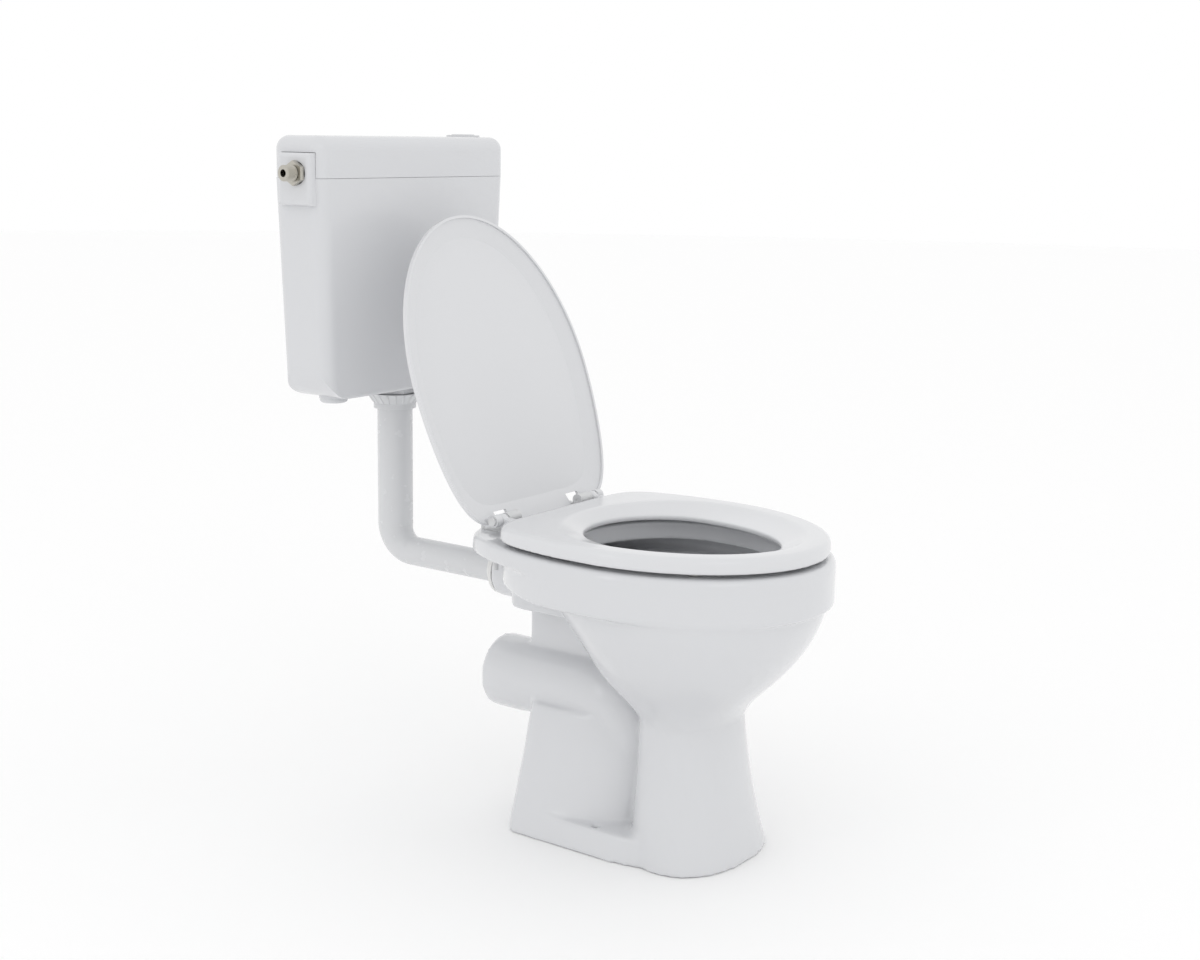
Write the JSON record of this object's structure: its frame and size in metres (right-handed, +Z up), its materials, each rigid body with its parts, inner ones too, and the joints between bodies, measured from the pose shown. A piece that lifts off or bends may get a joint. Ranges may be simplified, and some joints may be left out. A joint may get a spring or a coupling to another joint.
{
  "type": "toilet",
  "caption": "Floor-standing toilet with a glazed pan, a hinged seat and lid, and a slim push-button cistern above it joined by an exposed flush pipe.",
  "frame": {"origin": "on the floor, midway between the pan's two floor screw holes", "axes": "+Z up, +Y from the pan towards the wall, +X to the right of someone who stands in front of the pan and faces it"},
  "size_m": [0.413, 0.739, 0.909],
  "materials": {
    "glaze": "glossy glaze",
    "seat_plastic": "glossy",
    "hinge_plastic": "satin",
    "buffer_rubber": "matte",
    "cistern_plastic": "glossy",
    "button_plastic": "glossy",
    "inner_plastic": "satin",
    "nut_plastic": "satin",
    "inlet_metal": "nickel plated, satin",
    "pipe_plastic": "satin",
    "cone_rubber": "matte",
    "seal_rubber": "matte"
  },
  "bodies": {
    "frame": {"pan": "glaze", "hinge_blocks": "hinge_plastic", "hinge_pins": "hinge_plastic", "hinge_bolts": "hinge_plastic", "wing_nuts": "hinge_plastic", "cistern_body": "cistern_plastic", "bottom_plug": "cistern_plastic", "side_plug": "cistern_plastic", "lever_bracket": "inner_plastic", "lever_pin": "inner_plastic", "flush_valve_body": "inner_plastic", "inlet_valve": "inner_plastic", "float_arm_pin": "inner_plastic", "flush_valve_back_nut": "nut_plastic", "coupling_nut": "nut_plastic", "inlet_shank": "inlet_metal", "inlet_nut": "inlet_metal", "flush_pipe": "pipe_plastic", "flush_cone": "cone_rubber", "hinge_washers": "seal_rubber", "flush_valve_washer": "seal_rubber", "pipe_washer": "seal_rubber", "inlet_washers": "seal_rubber"},
    "seat": {"seat": "seat_plastic", "seat_buffers": "buffer_rubber"},
    "lid": {"lid": "seat_plastic"},
    "cover": {"cistern_cover": "cistern_plastic", "button_bezel": "button_plastic"},
    "button": {"push_button": "button_plastic", "button_rod": "inner_plastic"},
    "flush_lever": {"flush_lever": "inner_plastic"},
    "flush_valve": {"overflow_tube": "inner_plastic", "flush_valve_seal": "seal_rubber"},
    "float": {"float_arm": "inner_plastic", "float_cup": "inner_plastic"},
    "inlet_plunger": {"inlet_plunger": "inner_plastic"}
  },
  "joints": [
    {"name": "seat_hinge", "type": "hinge", "parent": "frame", "child": "seat", "pos_m": [0, 0.153, 0.419], "axis": [-1, 0, 0], "range_deg": [0, 105]},
    {"name": "lid_hinge", "type": "hinge", "parent": "frame", "child": "lid", "pos_m": [0, 0.153, 0.419], "axis": [-1, 0, 0], "range_deg": [-110.5, 0]},
    {"name": "cover_lift", "type": "slide", "parent": "frame", "child": "cover", "axis": [0, 0, 1], "range_m": [0, 0.12]},
    {"name": "button_press", "type": "slide", "parent": "cover", "child": "button", "axis": [0, 0, 1], "range_m": [-0.008, 0], "stiffness_N_per_m": 400},
    {"name": "lever_tilt", "type": "hinge", "parent": "frame", "child": "flush_lever", "pos_m": [0.1, 0.43, 0.834], "axis": [0, 1, 0], "range_deg": [0, 9.6]},
    {"name": "valve_lift", "type": "slide", "parent": "frame", "child": "flush_valve", "axis": [0, 0, 1], "range_m": [0, 0.017]},
    {"name": "float_swing", "type": "hinge", "parent": "frame", "child": "float", "pos_m": [-0.155, 0.415, 0.849], "axis": [0, 1, 0], "range_deg": [0, 30]},
    {"name": "plunger_slide", "type": "slide", "parent": "frame", "child": "inlet_plunger", "axis": [1, 0, 0], "range_m": [0, 0.0024]}
  ],
  "couplings": [
    {"joint": "lever_tilt", "follows": "button_press", "rad_per_m": -20.83},
    {"joint": "valve_lift", "follows": "button_press", "ratio": -2.083},
    {"joint": "plunger_slide", "follows": "float_swing", "m_per_rad": 0.0044}
  ]
}
